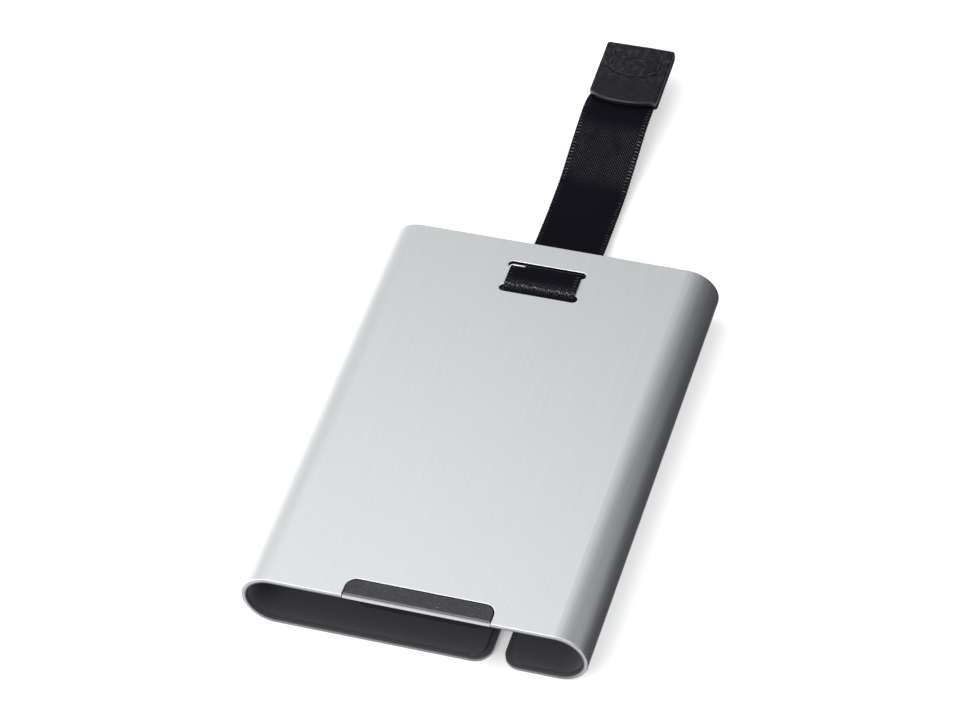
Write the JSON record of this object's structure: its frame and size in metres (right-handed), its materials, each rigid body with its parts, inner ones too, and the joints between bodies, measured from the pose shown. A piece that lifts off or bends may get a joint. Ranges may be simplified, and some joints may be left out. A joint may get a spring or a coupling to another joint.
{
  "type": "card sleeve with pull ribbon",
  "caption": "Flat oval aluminium card sleeve with a seam gap, a woven pull ribbon threaded through two slots and a stitched leather pull tip.",
  "frame": {"origin": "centre of the back plate's outer face, under the middle of the sleeve", "axes": "+X across the width, +Y along the length towards the end where the ribbon leaves, +Z out through the front plate with the slots"},
  "size_m": [0.0636, 0.1508, 0.0122],
  "materials": {
    "shell_aluminium": "satin anodised, fine grain along the length",
    "plate_aluminium": "bare cut metal end, black painted sides",
    "black_lining": "matte",
    "black_facing": "fine grained, low sheen",
    "ribbon": "satin twill weave",
    "thread": "waxed thread",
    "tip_leather": "smooth grained leather, low gloss"
  },
  "bodies": {
    "sleeve": {"sleeve_shell": "shell_aluminium", "inner_lining": "black_lining", "stop_plate": "plate_aluminium", "stop_pad": "black_facing", "ribbon_anchor_loop": "ribbon", "anchor_stitching": "thread", "ribbon_front_run": "ribbon"},
    "loop": {"ribbon_bight": "ribbon"},
    "tail": {"ribbon_back_run": "ribbon", "ribbon_tail": "ribbon"},
    "tip": {"ribbon_end": "ribbon", "tip_leather": "tip_leather", "tip_stitching": "thread"}
  },
  "joints": [
    {"name": "loop_travel", "type": "slide", "parent": "sleeve", "child": "loop", "axis": [0, 1, 0], "range_m": [-0.02, 0.027], "deforming": ["ribbon_front_run"]},
    {"name": "tail_travel", "type": "slide", "parent": "loop", "child": "tail", "axis": [0, 1, 0], "range_m": [-0.02, 0.027], "deforming": ["ribbon_back_run"]},
    {"name": "tip_flex", "type": "hinge", "parent": "tail", "child": "tip", "pos_m": [0.00005, 0.08886, 0.00538], "axis": [1, 0, 0], "range_deg": [-90, 90], "stiffness_Nm_per_rad": 0.001}
  ],
  "couplings": [
    {"joint": "tail_travel", "follows": "loop_travel", "ratio": 1}
  ]
}
